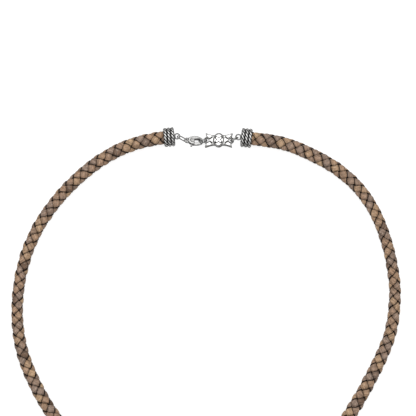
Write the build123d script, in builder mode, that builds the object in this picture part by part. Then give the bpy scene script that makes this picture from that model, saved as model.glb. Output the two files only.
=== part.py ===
from build123d import *
from math import atan, cos, degrees, pi, radians, sin, tan
import os

# Leather cord necklace, laid flat with its clasp closed. Millimetres.
# The origin is under the middle of the loop, on the surface it lies on.
# X runs across the loop, +Y points to the clasp, +Z up.

os.makedirs("parts", exist_ok=True)

# Braided cord
cord_end_diameter = 6.0
strands_each_way = 3
strand_thickness = 0.75
crossing_clearance = 0.44
strand_side_gap = 0.33
tucked_width = 1.04
edge_rise = 0.04
tucked_edge_drop = 0.29
row_pitch = 2.24

# Turn of the braid about the cord, in degrees, at shares of the cord's length
braid_turns = [(0.0, 15.0), (0.2, 3.0), (0.75, 0.0), (0.93, 24.0), (1.0, 24.0)]

# Cord caps
cap_outer_diameter = 8.6
cap_core_diameter = 7.2
cap_length = 4.9
cap_wall = 0.7
cord_fit = 0.12
rope_rows = 3
rope_row_pitch = 1.6
strand_end_gap = 0.3
left_cap_place = (-13.72, 76.96)
left_cap_heading = 186.0
right_cap_heading = -6.0

# Ring eye soldered to each cap, lying level
eye_diameter = 2.9
eye_wire = 0.6
eye_sunk = 0.35

# Oval link between the left eye and the claw
link_length = 5.6
link_width = 2.35
link_wire = 0.5
link_heading = -29.0
link_pitch = 29.0
link_roll = 54.0

# Lobster claw
claw_length = 8.4
claw_width = 4.4
claw_thickness = 1.9
claw_edge_radius = 0.45
tail_thickness = 0.9
tail_eye_diameter = 2.5
tail_eye_hole = 1.5
almond_start = 0.3
claw_opening_share = 0.9
claw_opening_width = 1.7
claw_panel_start = 1.35
claw_panel_margin = 0.3
claw_panel_depth = 0.2
nose_thickness = 0.95
claw_heading = -5.0
claw_pitch = 4.0
claw_roll = -27.4

# Claw lever
lever_thickness = 0.8
lever_side_gap = 0.12
lever_tip_gap = 0.15
lever_tip_setback = 0.3
pivot_share_of_length = 0.3274
pivot_share_of_width = 0.25
pivot_diameter = 0.5
pivot_clearance = 0.1
lever_hub_diameter = 1.5
thumb_tab_height = 0.7
thumb_tab_width = 0.8

# Cast plate
plate_half_length = 6.7
plate_corner_reach = 6.05
plate_corner_flat = 0.5
plate_half_width = 3.3
plate_waist = 2.35
plate_edge_dip = 0.12
plate_thickness = 1.3
plate_bevel = 0.3
plate_eye_diameter = 1.7
plate_eye_bar = 0.65
plate_pitch = -7.8
plate_roll = -21.8

# Slits, grooves and medallion on the plate
slit_length = 1.5
slit_width = 0.45
slit_depth = 0.5
slit_slant = 38.0
slit_off_middle = 1.05
groove_width = 0.28
groove_depth = 0.25
groove_end_rise = 0.38
medallion_length = 6.4
medallion_width = 4.8
medallion_rise = 0.4
medallion_rim = 0.35
medallion_floor_drop = 0.25
petal_count = 4
petal_length = 1.7
petal_width = 0.9

# Jump rings, the same ring twice
jump_ring_diameter = 4.05
jump_ring_wire = 0.55
left_ring_heading = 3.2
left_ring_lean = -19.2
right_ring_heading = 22.3
right_ring_lean = -6.4

# How far each loose piece settles off the straight pull of the chain
link_settles = (-0.14, 0.33, 0.75)
claw_settles = (-0.35, 0.41, 0.48)
left_ring_settles = (-0.65, 0.15, -0.26)
plate_settles = (-0.41, 0.12, 0.05)
right_ring_settles = (-0.52, -0.08, 0.15)
right_cap_settles = (-0.32, -0.01, 0.0)

# Cord as it leaves each cap, and chosen points of its route between the caps: x, y and the
# diameter there, since the braid is pulled thinner at the two sides of the loop
cord_leaving_diameter = 6.1
route_points = [
    (-45.8, 67.7, 6.0),
    (-62.4, 53.5, 5.75),
    (-74.8, 36.9, 5.6),
    (-81.8, 18.5, 5.4),
    (-83.9, -0.6, 5.3),
    (-81.7, -18.2, 5.7),
    (-75.0, -34.1, 5.95),
    (-65.6, -49.5, 6.1),
    (-52.5, -61.6, 6.1),
    (-35.3, -71.6, 6.1),
    (-15.5, -77.4, 6.1),
    (5.1, -79.0, 6.1),
    (25.5, -76.0, 6.1),
    (43.8, -68.2, 6.1),
    (57.3, -55.8, 6.15),
    (66.4, -41.9, 6.2),
    (75.2, -25.8, 6.05),
    (82.5, -9.3, 5.7),
    (84.2, 10.5, 5.35),
    (80.7, 29.4, 5.3),
    (73.6, 47.4, 5.4),
    (60.4, 62.0, 5.9),
    (41.9, 71.6, 6.05),
]
first_run = 13.0
rise_to_caps = 0.3

# Derived sizes
cap_radius = cap_outer_diameter / 2
cap_core_radius = cap_core_diameter / 2
eye_hole_radius = eye_diameter / 2 - eye_wire
eye_standoff = eye_diameter / 2 - eye_sunk
link_reach = (link_length - link_wire) / 2
ring_reach = (jump_ring_diameter - jump_ring_wire) / 2
plate_eye_reach = plate_half_length - plate_eye_bar - jump_ring_wire / 2
row_turn = 180 / strands_each_way


def cap_plane(place, heading):
    """Plane on a cap's closed face, its normal along the cord that leaves the cap."""
    outward = Vector(cos(radians(heading)), sin(radians(heading)), 0)
    return Plane(origin=(place[0], place[1], cap_radius), x_dir=(0, 0, 1), z_dir=outward)


def turned(heading, pitch=0.0, roll=0.0):
    """Turn of a loose piece: its heading, its nose pitched down and its roll about itself."""
    return Rotation(0, 0, heading) * Rotation(0, pitch, 0) * Rotation(roll, 0, 0)


def pull(turn, distance):
    """Step along a turned piece's own x direction."""
    return Plane(turn).x_dir * distance


def make_cap(plane):
    """Cast cup with rope rows round it and a ring eye on its closed face."""
    rope_radius = cap_radius - cap_core_radius
    first_row = (cap_length - rope_row_pitch * (rope_rows - 1)) / 2
    eye_place = Location((0, 0, -eye_standoff), (0, 90, 0))
    from_base = (Align.CENTER, Align.CENTER, Align.MIN)
    with BuildPart(plane) as cap:
        Cylinder(cap_core_radius, cap_length, align=from_base)
        for row in range(rope_rows):
            with Locations((0, 0, first_row + row * rope_row_pitch)):
                Torus(cap_core_radius, rope_radius)
        with Locations((0, 0, cap_wall)):
            Cylinder(cord_end_diameter / 2 + cord_fit, cap_length, align=from_base, mode=Mode.SUBTRACT)
        with Locations(eye_place):
            Torus((eye_diameter - eye_wire) / 2, eye_wire / 2)
    return cap.part


def make_jump_ring(place):
    """Round wire ring in the plane of its place."""
    with BuildPart(Plane(place)) as ring:
        Torus(ring_reach, jump_ring_wire / 2)
    return ring.part


# Left cap
left_cap_plane = cap_plane(left_cap_place, left_cap_heading)
left_cord_cap = make_cap(left_cap_plane)
left_cord_cap.label = "left_cord_cap"
export_step(left_cord_cap, "parts/left_cord_cap.step")

# Oval link, hooked into the left eye
link_turn = turned(link_heading, link_pitch)
left_eye = Vector(left_cap_plane.from_local_coords((0, 0, -eye_standoff)))
link_centre = left_eye + pull(link_turn, eye_hole_radius - link_wire / 2 + link_reach) + Vector(link_settles)
link_plane = Plane(Location(link_centre) * turned(link_heading, link_pitch, link_roll))
link_bend = (link_width - link_wire) / 2
link_straight = link_reach - link_bend
with BuildPart() as oval_link:
    with BuildLine(link_plane) as link_line:
        Line((0, -link_bend), (link_straight, -link_bend))
        ThreePointArc((link_straight, -link_bend), (link_reach, 0), (link_straight, link_bend))
        Line((link_straight, link_bend), (-link_straight, link_bend))
        ThreePointArc((-link_straight, link_bend), (-link_reach, 0), (-link_straight, -link_bend))
        Line((-link_straight, -link_bend), (0, -link_bend))
    with BuildSketch(Plane(origin=link_line.line @ 0, z_dir=link_line.line % 0)):
        Circle(link_wire / 2)
    sweep()
oval_link.part.label = "oval_link"
export_step(oval_link.part, "parts/oval_link.step")

# Claw: its plane has its origin in the tail eye and its x towards the nose
claw_turn = turned(claw_heading, claw_pitch)
link_far_end = link_centre + pull(link_turn, link_reach)
claw_tail = link_far_end + pull(claw_turn, (tail_eye_hole - link_wire) / 2) + Vector(claw_settles)
claw_plane = Plane(Location(claw_tail) * turned(claw_heading, claw_pitch, claw_roll))
nose_end = claw_length - tail_eye_diameter / 2
nose_inside = nose_end - nose_thickness
almond_middle = (almond_start + nose_end) / 2
almond_reach = (nose_end - almond_start) / 2
pivot_from_tail = claw_length * pivot_share_of_length
pivot = (pivot_from_tail, -claw_width * pivot_share_of_width)
claw_opening_length = (nose_inside - pivot_from_tail) * claw_opening_share
opening_middle = nose_inside - claw_opening_length / 2
panel_end = nose_inside + claw_panel_margin
panel_width = claw_opening_width + 2 * claw_panel_margin
lever_reach = nose_inside - lever_tip_setback - pivot_from_tail
cheek_end = nose_inside - claw_opening_length + 2 * lever_side_gap
slot_start = pivot_from_tail - lever_hub_diameter / 2 - thumb_tab_width
slot_width = lever_thickness + 2 * lever_side_gap
low_right = (Align.MIN, Align.MAX)

# Claw body: almond with a tail eye, a shallow bare panel on its face, an opening behind the
# nose and a slot for the lever
with BuildPart() as claw_body:
    with BuildSketch(claw_plane.offset(-claw_thickness / 2)):
        with Locations((almond_middle, 0)):
            Ellipse(almond_reach, claw_width / 2)
    extrude(amount=claw_thickness)
    fillet(claw_body.edges().filter_by(GeomType.ELLIPSE), claw_edge_radius)
    with BuildSketch(claw_plane.offset(-tail_thickness / 2)):
        Circle(tail_eye_diameter / 2)
    extrude(amount=tail_thickness)
    with BuildSketch(claw_plane.offset(-claw_thickness / 2)):
        Circle(tail_eye_hole / 2)
        with Locations((opening_middle, 0)):
            SlotOverall(claw_opening_length, claw_opening_width)
    extrude(amount=claw_thickness, mode=Mode.SUBTRACT)
    with BuildSketch(claw_plane.offset(claw_thickness / 2 - claw_panel_depth)):
        with Locations(((claw_panel_start + panel_end) / 2, 0)):
            SlotOverall(panel_end - claw_panel_start, panel_width)
    extrude(amount=claw_panel_depth, mode=Mode.SUBTRACT)
    with BuildSketch(claw_plane.offset(-claw_thickness / 2)):
        with Locations(pivot):
            Circle(lever_reach + lever_tip_gap)
        with Locations((cheek_end, 0)):
            Rectangle(claw_length, claw_width, align=low_right, mode=Mode.INTERSECT)
    extrude(amount=claw_thickness, mode=Mode.SUBTRACT)
    with BuildSketch(claw_plane.offset(-slot_width / 2)):
        with Locations((slot_start, lever_side_gap)):
            Rectangle(cheek_end - slot_start, claw_width, align=low_right)
    extrude(amount=slot_width, mode=Mode.SUBTRACT)
    with BuildSketch(claw_plane.offset(-claw_thickness / 2)):
        with Locations(pivot):
            Circle(pivot_diameter / 2)
    extrude(amount=claw_thickness)
claw_body.part.label = "claw_body"
export_step(claw_body.part, "parts/claw_body.step")

# Claw lever: hub on the pivot, an arm that closes the opening and a thumb tab
tab_low = -claw_width / 2 - thumb_tab_height
tab_left = pivot_from_tail - lever_hub_diameter / 2
with BuildPart() as claw_lever:
    with BuildSketch(claw_plane.offset(-lever_thickness / 2)):
        with Locations((almond_middle, 0)):
            Ellipse(almond_reach, claw_width / 2)
        with Locations(pivot):
            Circle(lever_reach, mode=Mode.INTERSECT)
        with Locations((pivot_from_tail, 0)):
            Rectangle(claw_length, claw_width, align=low_right, mode=Mode.INTERSECT)
        with Locations((opening_middle, 0)):
            SlotOverall(claw_opening_length, claw_opening_width, mode=Mode.SUBTRACT)
        with Locations(pivot):
            Circle(lever_hub_diameter / 2)
        Polygon(
            pivot,
            (tab_left, pivot[1]),
            (tab_left - thumb_tab_width / 2, tab_low),
            (tab_left + thumb_tab_width / 2, tab_low),
            align=None,
        )
        with Locations(pivot):
            Circle(pivot_diameter / 2 + pivot_clearance, mode=Mode.SUBTRACT)
    extrude(amount=lever_thickness)
claw_lever.part.label = "claw_lever"
export_step(claw_lever.part, "parts/claw_lever.step")

# Left jump ring, held in the claw's nose
left_ring_turn = turned(left_ring_heading)
claw_nose = claw_tail + pull(claw_turn, nose_inside)
left_ring_pull = pull(left_ring_turn, ring_reach - jump_ring_wire / 2)
left_ring_centre = claw_nose + left_ring_pull + Vector(left_ring_settles)
left_ring_stands = turned(left_ring_heading, 0, 90 + left_ring_lean)
left_jump_ring = make_jump_ring(Location(left_ring_centre) * left_ring_stands)
left_jump_ring.label = "left_jump_ring"
export_step(left_jump_ring, "parts/left_jump_ring.step")

# Cast plate: flared corners, rounded end lobes with an eye each, a groove over each lobe from
# the slit beside it, and a raised medallion
plate_turn = turned(0, plate_pitch)
left_ring_far_end = left_ring_centre + pull(left_ring_turn, ring_reach)
plate_centre = left_ring_far_end + pull(plate_turn, plate_eye_reach) + Vector(plate_settles)
plate_plane = Plane(Location(plate_centre) * turned(0, plate_pitch, plate_roll))
lobe_radius = plate_eye_diameter / 2 + plate_eye_bar
plate_eye_place = plate_half_length - lobe_radius
plate_back = plate_plane.offset(-plate_thickness / 2)
medallion_floor = plate_plane.offset(plate_thickness / 2 + medallion_rise - medallion_floor_drop)
corner = (plate_corner_reach, plate_half_width)
corner_inner = (plate_corner_reach - plate_corner_flat, plate_half_width)
waist = (medallion_width / 2, plate_waist)
edge_middle = ((corner_inner[0] + waist[0]) / 2, (plate_half_width + plate_waist) / 2 - plate_edge_dip)
slit_reach = (medallion_width / 2 + plate_eye_place - plate_eye_diameter / 2) / 2
slit_out = slit_length / 2 * cos(radians(slit_slant))
slit_down = slit_length / 2 * sin(radians(slit_slant))
groove_start = (slit_reach + slit_out, slit_off_middle - slit_down)
groove_peak = (plate_eye_place, lobe_radius)
groove_end = (plate_half_length - plate_eye_bar / 2, groove_end_rise)
with BuildPart() as clasp_plate:
    with BuildSketch(plate_back):
        with BuildLine():
            Polyline((0, plate_waist), (0, 0), (plate_eye_place, 0), corner, corner_inner)
            ThreePointArc(corner_inner, edge_middle, waist)
            Line(waist, (0, plate_waist))
        make_face()
        mirror(about=Plane.YZ)
        mirror(about=Plane.XZ)
        with Locations((plate_eye_place, 0), (-plate_eye_place, 0)):
            Circle(lobe_radius)
    extrude(amount=plate_thickness)
    face_outline = clasp_plate.faces().sort_by(Axis(plate_plane.origin, plate_plane.z_dir))[-1].edges()
    long_arcs = face_outline.filter_by(GeomType.CIRCLE).sort_by(SortBy.RADIUS)[-4:]
    chamfer(long_arcs, plate_bevel)
    with BuildSketch(plate_back):
        Ellipse(medallion_width / 2, medallion_length / 2)
    extrude(amount=plate_thickness + medallion_rise)
    with BuildSketch(medallion_floor):
        Ellipse(medallion_width / 2 - medallion_rim, medallion_length / 2 - medallion_rim)
    extrude(amount=medallion_floor_drop, mode=Mode.SUBTRACT)
    with BuildSketch(medallion_floor):
        with PolarLocations(petal_length / 2, petal_count, start_angle=180 / petal_count):
            Ellipse(petal_length / 2, petal_width / 2)
        Circle(petal_width / 2)
    extrude(amount=medallion_floor_drop)
    with BuildSketch(plate_plane.offset(-plate_thickness)):
        with Locations((plate_eye_place, 0), (-plate_eye_place, 0)):
            Circle(plate_eye_diameter / 2)
    extrude(amount=2 * plate_thickness, mode=Mode.SUBTRACT)
    with BuildSketch(plate_plane.offset(plate_thickness / 2 - slit_depth)):
        for side in (1, -1):
            for end in (1, -1):
                with Locations((end * slit_reach, side * slit_off_middle)):
                    SlotOverall(slit_length, slit_width, rotation=-side * end * slit_slant)
    extrude(amount=slit_depth, mode=Mode.SUBTRACT)
    with BuildSketch(plate_plane.offset(plate_thickness / 2 - groove_depth)):
        with BuildLine():
            Polyline(groove_start, groove_peak, groove_end)
        trace(line_width=groove_width)
        mirror(about=Plane.YZ)
        mirror(about=Plane.XZ)
    extrude(amount=groove_depth, mode=Mode.SUBTRACT)
clasp_plate.part.label = "clasp_plate"
export_step(clasp_plate.part, "parts/clasp_plate.step")

# Right jump ring, from the plate's right eye to the right cap's eye
right_ring_turn = turned(right_ring_heading)
plate_right_bar = plate_centre + pull(plate_turn, plate_eye_reach)
right_ring_centre = plate_right_bar + pull(right_ring_turn, ring_reach) + Vector(right_ring_settles)
right_ring_stands = turned(right_ring_heading, 0, 90 + right_ring_lean)
right_jump_ring = make_jump_ring(Location(right_ring_centre) * right_ring_stands)
right_jump_ring.label = "right_jump_ring"
export_step(right_jump_ring, "parts/right_jump_ring.step")

# Right cap, where the chain ends
right_eye_pull = pull(right_ring_turn, ring_reach + eye_hole_radius - jump_ring_wire / 2)
right_eye = right_ring_centre + right_eye_pull + Vector(right_cap_settles)
right_cap_face = right_eye + pull(turned(right_cap_heading), eye_standoff)
right_cap_plane = cap_plane((right_cap_face.X, right_cap_face.Y), right_cap_heading)
right_cord_cap = make_cap(right_cap_plane)
right_cord_cap.label = "right_cord_cap"
export_step(right_cord_cap, "parts/right_cord_cap.step")


def strand_section(diameter):
    """Radii of a strand's middle over and under another, its lean and its width, in a cord that thick."""
    over_radius = (diameter - strand_thickness) / 2
    under_radius = over_radius - strand_thickness - crossing_clearance
    middle_radius = (over_radius + under_radius) / 2
    helix_angle = degrees(atan(middle_radius * radians(row_turn) / row_pitch))
    strand_spacing = 2 * pi * middle_radius / strands_each_way * cos(radians(helix_angle))
    return over_radius, under_radius, helix_angle, strand_spacing - strand_side_gap


# Route of the cord. Its first and last points lie inside the cups and the next ones on the
# cups' axes, so the cord leaves them straight. Between them it lies on the surface.
end_helix_angle, end_strand_width = strand_section(cord_end_diameter)[2:]
cord_start_depth = cap_wall + strand_end_gap + end_strand_width / 2 * sin(radians(end_helix_angle))
cord_start = left_cap_plane.from_local_coords((0, 0, cord_start_depth))
cord_leaves = left_cap_plane.from_local_coords((0, 0, cord_start_depth + first_run))
cord_returns = right_cap_plane.from_local_coords((0, 0, cord_start_depth + first_run))
cord_end = right_cap_plane.from_local_coords((0, 0, cord_start_depth))
laid_points = [Vector(x, y, diameter / 2) for x, y, diameter in route_points]
laid_points[0] += Vector(0, 0, rise_to_caps)
laid_points[-1] += Vector(0, 0, rise_to_caps)
route = [Vector(cord_start), Vector(cord_leaves), *laid_points, Vector(cord_returns), Vector(cord_end)]
laid_diameters = [diameter for x, y, diameter in route_points]
free_diameters = [cord_leaving_diameter, *laid_diameters, cord_leaving_diameter]
cord_diameters = [cord_end_diameter, *free_diameters, cord_end_diameter]

bend_radii = []
for before, bend, after in zip(route, route[1:], route[2:]):
    run_in = bend - before
    run_out = after - bend
    half_turn = radians(run_in.get_angle(run_out)) / 2
    bend_radii.append(0.45 * min(run_in.length, run_out.length) / tan(half_turn))
print("bend radii", [round(radius, 1) for radius in bend_radii])
print("runs", [round((after - before).length, 1) for before, after in zip(route, route[1:])])

with BuildLine() as cord_line:
    FilletPolyline(*route, radius=bend_radii)
cord_path = cord_line.wire()
row_count = round(cord_path.length / row_pitch)
chain_length = (right_cap_plane.origin - left_cap_plane.origin).length
print("strand rows", row_count, "strand width at the caps", round(end_strand_width, 2))
print("route", [(round(point.X, 3), round(point.Y, 3), round(point.Z, 3)) for point in route])
print("length round the closed loop", round(cord_path.length + 2 * cord_start_depth + chain_length, 1))

run_lengths = [(after - before).length for before, after in zip(route, route[1:])]
route_shares = [sum(run_lengths[:number]) / sum(run_lengths) for number in range(len(route))]
diameter_table = list(zip(route_shares, cord_diameters))


def at_share(table, share):
    """Value at a share of the cord's length, on straight lines between a table's entries."""
    for (start, first), (end, last) in zip(table, table[1:]):
        if share <= end:
            break
    return first + (last - first) * (share - start) / (end - start)


row_frames = []
for row in range(row_count + 1):
    share = row / row_count
    centre = cord_path.position_at(share)
    along = cord_path.tangent_at(share)
    side = Vector(0, 0, 1).cross(along).normalized()
    up = along.cross(side).normalized()
    row_frames.append((centre, along, side, up, at_share(diameter_table, share)))


def strand_corners(row, hand, start_angle):
    """Four corners of a strand where it crosses another: outer, side, inner, other side."""
    centre, along, side, up, diameter = row_frames[row]
    over_radius, under_radius, helix_angle, strand_width = strand_section(diameter)
    turn = radians(start_angle + at_share(braid_turns, row / row_count) + hand * row_turn * row)
    outward = side * cos(turn) + up * sin(turn)
    around = up * cos(turn) - side * sin(turn)
    direction = along * cos(radians(helix_angle)) + around * (hand * sin(radians(helix_angle)))
    across = direction.cross(outward)
    lies_over = (row % 2 == 0) == (hand > 0)
    middle = centre + outward * (over_radius if lies_over else under_radius)
    half_width = strand_width / 2 if lies_over else tucked_width / 2
    edge = outward * (edge_rise if lies_over else -tucked_edge_drop)
    return [
        middle + outward * (strand_thickness / 2),
        middle + across * half_width + edge,
        middle - outward * (strand_thickness / 2),
        middle - across * half_width + edge,
    ]


def make_strand(hand, start_angle):
    """Flat lace that winds round the cord and passes over one lace and under the next.

    Its sides between two rows are split along the diagonal that bulges outward, which
    is the other diagonal on a strand of the other hand.
    """
    rows = [strand_corners(row, hand, start_angle) for row in range(row_count + 1)]
    faces = [Face(Wire.make_polygon(rows[0])), Face(Wire.make_polygon(rows[-1]))]
    for near, far in zip(rows, rows[1:]):
        for corner in range(4):
            following = (corner + 1) % 4
            if hand < 0:
                halves = (
                    (near[following], far[following], near[corner]),
                    (far[following], far[corner], near[corner]),
                )
            else:
                halves = (
                    (near[corner], near[following], far[corner]),
                    (near[following], far[following], far[corner]),
                )
            faces += [Face(Wire.make_polygon(triangle)) for triangle in halves]
    with BuildPart() as strand:
        add(Solid(Shell(faces)))
    return strand.part


# Six strands: the first three wind one way round the cord, the other three the other way
for hand, first_number in ((1, 1), (-1, 1 + strands_each_way)):
    for number in range(strands_each_way):
        leather_strand = make_strand(hand, 360 / strands_each_way * number)
        leather_strand.label = f"leather_strand_{first_number + number}"
        export_step(leather_strand, f"parts/{leather_strand.label}.step")
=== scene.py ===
import logging
import math
from dataclasses import dataclass, field
from enum import Enum

import bmesh
import bpy
import numpy as np
from mathutils import Matrix, Vector


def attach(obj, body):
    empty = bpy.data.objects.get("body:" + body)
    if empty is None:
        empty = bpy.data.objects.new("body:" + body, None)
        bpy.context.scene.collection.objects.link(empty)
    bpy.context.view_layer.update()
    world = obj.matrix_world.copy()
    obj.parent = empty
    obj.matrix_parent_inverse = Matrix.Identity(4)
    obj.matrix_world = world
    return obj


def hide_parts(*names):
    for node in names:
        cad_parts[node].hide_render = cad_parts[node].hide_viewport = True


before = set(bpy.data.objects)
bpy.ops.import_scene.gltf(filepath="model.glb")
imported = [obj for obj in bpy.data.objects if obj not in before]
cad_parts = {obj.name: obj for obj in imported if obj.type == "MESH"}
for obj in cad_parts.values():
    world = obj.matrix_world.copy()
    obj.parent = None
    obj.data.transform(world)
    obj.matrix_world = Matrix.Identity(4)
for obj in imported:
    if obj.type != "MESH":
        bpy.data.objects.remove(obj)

MM = 0.001
LOG = logging.getLogger("necklace")
Place = tuple[float, float, float]
Colour = tuple[float, float, float]


class Hand(Enum):
    """Which way a lace winds round the cord."""

    FORWARD = 1
    BACKWARD = -1


class LaceDye(Enum):
    """Place of a lace's colour between the darkest and the lightest leather."""

    TAUPE = 0.30
    BROWN = 0.48
    TAN = 0.72


def smooth_step(value: np.ndarray, low: float, high: float) -> np.ndarray:
    """Rise smoothly from 0 at low to 1 at high.

    Args:
        value: Numbers to map.
        low: Value that gives 0.
        high: Value that gives 1.

    Returns:
        The mapped numbers.
    """
    share = np.clip((value - low) / (high - low), 0.0, 1.0)
    return share * share * (3.0 - 2.0 * share)


def unit(vectors: np.ndarray) -> np.ndarray:
    """Return the vectors at length one."""
    return vectors / np.linalg.norm(vectors, axis=-1, keepdims=True)


def broad_crests(wave: np.ndarray) -> np.ndarray:
    """Return a wave from -1 to 1 with broader crests and troughs."""
    return wave * (1.5 - 0.5 * wave ** 2)


def make_mesh(name: str, points: np.ndarray, faces: list) -> bpy.types.Mesh:
    """Make a smooth shaded mesh from points and faces.

    Args:
        name: Mesh name.
        points: Rows of x, y, z.
        faces: Rows of point numbers.

    Returns:
        The mesh, its normals pointing outward.
    """
    mesh = bpy.data.meshes.new(name)
    mesh.from_pydata([tuple(p) for p in points.tolist()], [], [tuple(f) for f in faces])
    mesh.update()
    work = bmesh.new()
    work.from_mesh(mesh)
    bmesh.ops.recalc_face_normals(work, faces=work.faces)
    work.to_mesh(mesh)
    work.free()
    mesh.polygons.foreach_set("use_smooth", [True] * len(mesh.polygons))
    return mesh


def place_piece(name: str, mesh: bpy.types.Mesh, finish: bpy.types.Material) -> bpy.types.Object:
    """Put a mesh in the scene as a piece with its finish.

    Args:
        name: Name of the piece.
        mesh: Its mesh.
        finish: Its material.

    Returns:
        The piece.
    """
    piece = bpy.data.objects.new(name, mesh)
    bpy.context.scene.collection.objects.link(piece)
    mesh.materials.clear()
    mesh.materials.append(finish)
    return piece


def mesh_points(mesh: bpy.types.Mesh) -> np.ndarray:
    """Read where a mesh's points lie.

    Args:
        mesh: The mesh.

    Returns:
        Rows of x, y, z.
    """
    flat = np.zeros(len(mesh.vertices) * 3)
    mesh.vertices.foreach_get("co", flat)
    return flat.reshape(-1, 3)


def store_values(mesh: bpy.types.Mesh, name: str, values: np.ndarray) -> None:
    """Keep one number for each point of a mesh under a name."""
    layer = mesh.attributes.new(name, "FLOAT", "POINT")
    layer.data.foreach_set("value", np.asarray(values, dtype=np.float32))


class NodeBench:
    """Small helper that adds and joins the nodes of one tree."""

    def __init__(self, tree: bpy.types.NodeTree) -> None:
        """Keep the tree that is worked on."""
        self.tree = tree

    def feed(self, node: bpy.types.Node, inputs: dict) -> None:
        """Set a node's inputs.

        Args:
            node: The node.
            inputs: Socket name or number to a value or an output socket.
        """
        for key, value in inputs.items():
            if isinstance(value, bpy.types.NodeSocket):
                self.tree.links.new(value, node.inputs[key])
            else:
                node.inputs[key].default_value = value

    def add(self, kind: str, settings: dict | None = None, inputs: dict | None = None) -> bpy.types.Node:
        """Add a node.

        Args:
            kind: The node's type name without its ShaderNode prefix.
            settings: Properties to set on the node.
            inputs: Socket name or number to a value or an output socket.

        Returns:
            The new node.
        """
        node = self.tree.nodes.new(kind if kind.startswith("NodeGroup") else "ShaderNode" + kind)
        for key, value in (settings or {}).items():
            setattr(node, key, value)
        self.feed(node, inputs or {})
        return node

    def group(self, tree: bpy.types.NodeTree, inputs: dict) -> bpy.types.NodeSocket:
        """Place a node group with its own values and return its output."""
        return self.add("Group", {"node_tree": tree}, inputs).outputs[0]

    def value(self, name: str) -> bpy.types.NodeSocket:
        """Return the output of a mesh's stored numbers."""
        return self.add("Attribute", {"attribute_name": name}).outputs["Fac"]

    def maths(self, step: str, first: object, second: object = 0.0,
              clamp: bool = False) -> bpy.types.NodeSocket:
        """Return the output of one step of arithmetic on values or sockets."""
        node = self.add("Math", {"operation": step, "use_clamp": clamp}, {0: first, 1: second})
        return node.outputs[0]

    def swing(self, source: bpy.types.NodeSocket, share: object) -> bpy.types.NodeSocket:
        """Return how far a value lies above or below one half, times a share."""
        return self.maths("MULTIPLY", self.maths("SUBTRACT", source, 0.5), share)

    def mix(self, share: object, first: object, second: object) -> bpy.types.NodeSocket:
        """Return a colour between two colours, by the share of the second."""
        return self.add("Mix", {"data_type": "RGBA"}, {0: share, 6: first, 7: second}).outputs[2]

    def spread(self, source: bpy.types.NodeSocket, low: float, high: float, to_low: float = 0.0,
               to_high: float = 1.0) -> bpy.types.NodeSocket:
        """Return a value mapped from one range to another and kept inside it."""
        node = self.add("MapRange", {"clamp": True}, {"Value": source, "From Min": low, "From Max": high,
                                                      "To Min": to_low, "To Max": to_high})
        return node.outputs["Result"]


def start_group(name: str, inputs: dict[str, tuple[str, object]],
                outputs: dict[str, str]) -> bpy.types.NodeTree:
    """Make an empty shader node group with named sockets.

    Args:
        name: Group name.
        inputs: Socket name to its kind and its default value.
        outputs: Socket name to its kind.

    Returns:
        The group's node tree.
    """
    tree = bpy.data.node_groups.new(name, "ShaderNodeTree")
    for label, (kind, value) in inputs.items():
        socket = tree.interface.new_socket(name=label, in_out="INPUT", socket_type="NodeSocket" + kind)
        socket.default_value = value
    for label, kind in outputs.items():
        tree.interface.new_socket(name=label, in_out="OUTPUT", socket_type="NodeSocket" + kind)
    return tree


def start_material(name: str) -> tuple[bpy.types.Material, NodeBench, bpy.types.Node]:
    """Make a material with an untouched shader.

    Args:
        name: Material name.

    Returns:
        The material, its node bench and its shader.
    """
    material = bpy.data.materials.new(name)
    material.use_nodes = True
    return material, NodeBench(material.node_tree), material.node_tree.nodes["Principled BSDF"]


def mottle_group() -> bpy.types.NodeTree:
    """Build the patchy variation that the leather and the silver share.

    Returns:
        A group from a scale in millimetres and a contrast to a value round one half.
    """
    tree = start_group("patchy_variation", {"Patch Size": ("Float", 1.5), "Contrast": ("Float", 1.0),
                                            "Offset": ("Float", 0.0)}, {"Value": "Float"})
    bench = NodeBench(tree)
    given = bench.add("NodeGroupInput")
    where = bench.add("TexCoord").outputs["Object"]
    moved = bench.add("VectorMath", {"operation": "ADD"}, {0: where, 1: given.outputs["Offset"]}).outputs[0]
    scale = bench.maths("DIVIDE", 1000.0, given.outputs["Patch Size"])
    noise = bench.add("TexNoise", None, {"Vector": moved, "Scale": scale, "Detail": 4.0,
                                         "Roughness": 0.6}).outputs["Fac"]
    result = bench.maths("ADD", bench.swing(noise, given.outputs["Contrast"]), 0.5, clamp=True)
    bench.add("NodeGroupOutput", None, {"Value": result})
    return tree


def grain_group() -> bpy.types.NodeTree:
    """Build the fine surface grain that both materials use at their own sizes.

    Returns:
        A group from a grain size in millimetres to a height.
    """
    tree = start_group("fine_grain", {"Grain Size": ("Float", 0.2)}, {"Height": "Float"})
    bench = NodeBench(tree)
    given = bench.add("NodeGroupInput")
    where = bench.add("TexCoord").outputs["Object"]
    scale = bench.maths("DIVIDE", 1000.0, given.outputs["Grain Size"])
    cells = bench.add("TexVoronoi", {"feature": "DISTANCE_TO_EDGE"}, {"Vector": where, "Scale": scale})
    pebble = bench.spread(cells.outputs["Distance"], 0.0, 0.35)
    noise = bench.add("TexNoise", None, {"Vector": where, "Scale": scale, "Detail": 3.0}).outputs["Fac"]
    pebble_share = 0.55
    both = bench.maths("ADD", bench.maths("MULTIPLY", pebble, pebble_share),
                       bench.maths("MULTIPLY", noise, 1.0 - pebble_share))
    bench.add("NodeGroupOutput", None, {"Height": both})
    return tree


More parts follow.
